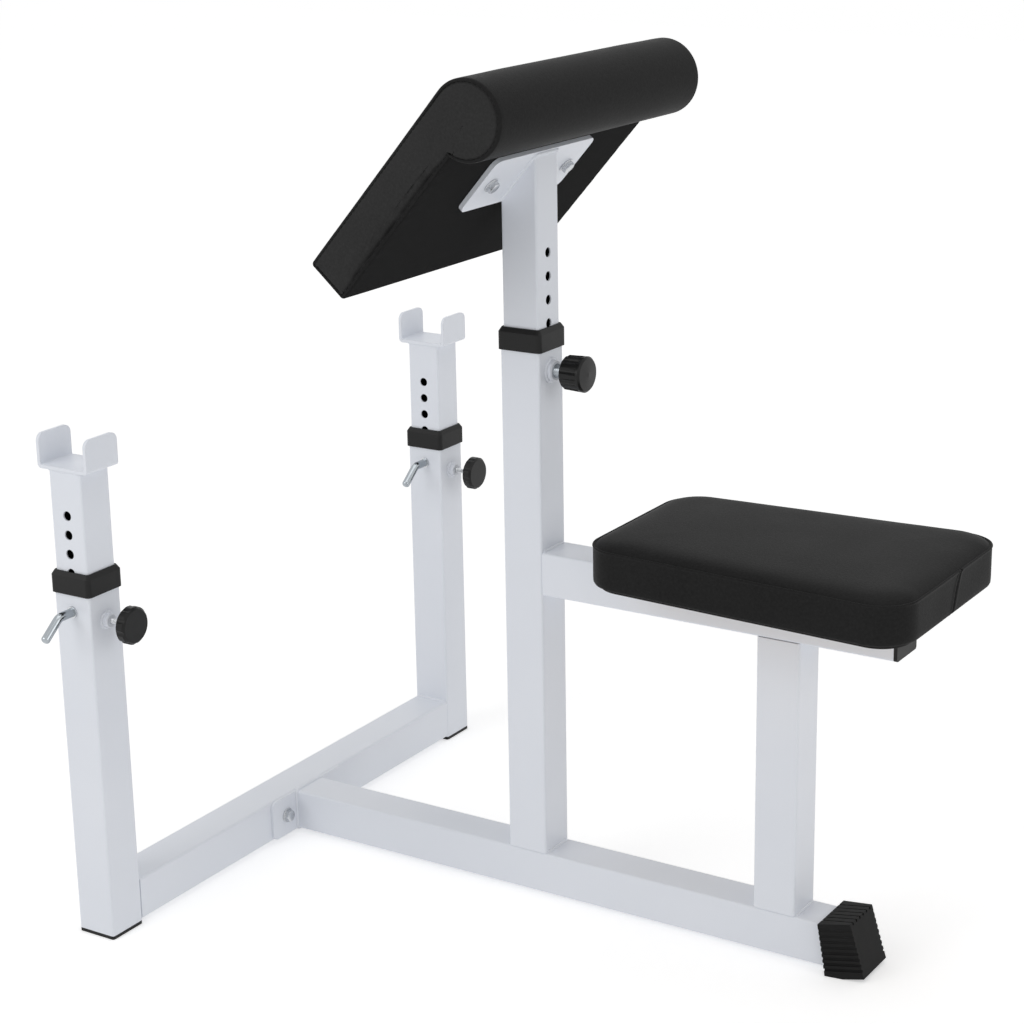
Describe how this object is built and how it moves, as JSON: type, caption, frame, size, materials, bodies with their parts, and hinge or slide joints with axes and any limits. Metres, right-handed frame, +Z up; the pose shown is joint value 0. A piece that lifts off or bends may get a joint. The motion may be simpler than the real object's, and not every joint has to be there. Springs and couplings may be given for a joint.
{
  "type": "preacher curl bench",
  "caption": "Free-standing preacher curl bench with a sloped arm pad, a padded seat and barbell rests, the pad and the rests on pin-locked sliding posts.",
  "frame": {"origin": "on the floor, on the bench's middle plane, 413 mm behind the middle of the cross tube", "axes": "+X rearwards, from the barbell rests to the seat; +Z up from the floor; the near side is -Y"},
  "size_m": [0.9041, 0.7771, 0.9647],
  "materials": {
    "frame_paint": "white powder coat",
    "black_plastic": "moulded, satin",
    "black_rubber": "moulded, matte",
    "vinyl": "grained black vinyl",
    "plywood": "raw plywood",
    "zinc": "bright zinc plate",
    "chrome": "polished chrome plate",
    "nylon": "natural nylon"
  },
  "bodies": {
    "frame": {"cross_tube": "frame_paint", "near_upright": "frame_paint", "far_upright": "frame_paint", "near_foot_cap": "black_plastic", "far_foot_cap": "black_plastic", "base_tube": "frame_paint", "joint_plate": "frame_paint", "joint_bolts": "zinc", "joint_washers": "zinc", "joint_nuts": "zinc", "main_upright": "frame_paint", "rear_post": "frame_paint", "seat_tube": "frame_paint", "seat_tube_cap": "black_plastic", "rear_foot": "black_rubber", "near_collar": "black_plastic", "far_collar": "black_plastic", "main_collar": "black_plastic", "near_clamp_nut": "frame_paint", "far_clamp_nut": "frame_paint", "near_pin_bush": "zinc", "far_pin_bush": "zinc", "pull_pin_boss": "frame_paint", "pull_pin_sleeve": "chrome", "pull_pin_spring": "chrome", "seat_board": "plywood", "seat_cushion": "vinyl", "seat_bolts": "zinc", "seat_washers": "zinc"},
    "arm": {"arm_post": "frame_paint", "pad_plate": "frame_paint", "pad_bolts": "zinc", "pad_washers": "zinc", "pad_board": "plywood", "arm_pad": "vinyl"},
    "near_rest": {"near_post": "frame_paint", "near_cradle": "frame_paint"},
    "far_rest": {"far_post": "frame_paint", "far_cradle": "frame_paint"},
    "pull_pin": {"pull_pin": "chrome", "pull_knob": "black_plastic"},
    "near_pin": {"near_lock_pin": "chrome"},
    "far_pin": {"far_lock_pin": "chrome"},
    "near_shoe": {"near_clamp_shoe": "nylon"},
    "near_clamp": {"near_clamp_stud": "zinc", "near_clamp_knob": "black_plastic"},
    "far_shoe": {"far_clamp_shoe": "nylon"},
    "far_clamp": {"far_clamp_stud": "zinc", "far_clamp_knob": "black_plastic"}
  },
  "joints": [
    {"name": "arm_height", "type": "slide", "parent": "frame", "child": "arm", "axis": [0, 0, 1], "range_m": [-0.13, 0.026]},
    {"name": "pull_pin_travel", "type": "slide", "parent": "frame", "child": "pull_pin", "axis": [1, 0, 0], "range_m": [-0.012, 0]},
    {"name": "near_rest_height", "type": "slide", "parent": "frame", "child": "near_rest", "axis": [0, 0, 1], "range_m": [-0.108, 0.0216]},
    {"name": "near_pin_travel", "type": "slide", "parent": "frame", "child": "near_pin", "axis": [0, -1, 0], "range_m": [-0.014, 0]},
    {"name": "near_shoe_travel", "type": "slide", "parent": "frame", "child": "near_shoe", "axis": [1, 0, 0], "range_m": [-0.0006, 0.003]},
    {"name": "near_clamp_turn", "type": "hinge", "parent": "near_shoe", "child": "near_clamp", "pos_m": [-0.388, -0.338, 0.375], "axis": [1, 0, 0], "range_deg": [-216, 1080]},
    {"name": "far_rest_height", "type": "slide", "parent": "frame", "child": "far_rest", "axis": [0, 0, 1], "range_m": [-0.108, 0.0216]},
    {"name": "far_pin_travel", "type": "slide", "parent": "frame", "child": "far_pin", "axis": [0, -1, 0], "range_m": [-0.014, 0]},
    {"name": "far_shoe_travel", "type": "slide", "parent": "frame", "child": "far_shoe", "axis": [1, 0, 0], "range_m": [-0.0006, 0.003]},
    {"name": "far_clamp_turn", "type": "hinge", "parent": "far_shoe", "child": "far_clamp", "pos_m": [-0.388, 0.338, 0.375], "axis": [1, 0, 0], "range_deg": [-216, 1080]}
  ],
  "couplings": [
    {"joint": "near_clamp_turn", "follows": "near_shoe_travel", "rad_per_m": 6283.2},
    {"joint": "far_clamp_turn", "follows": "far_shoe_travel", "rad_per_m": 6283.2}
  ]
}
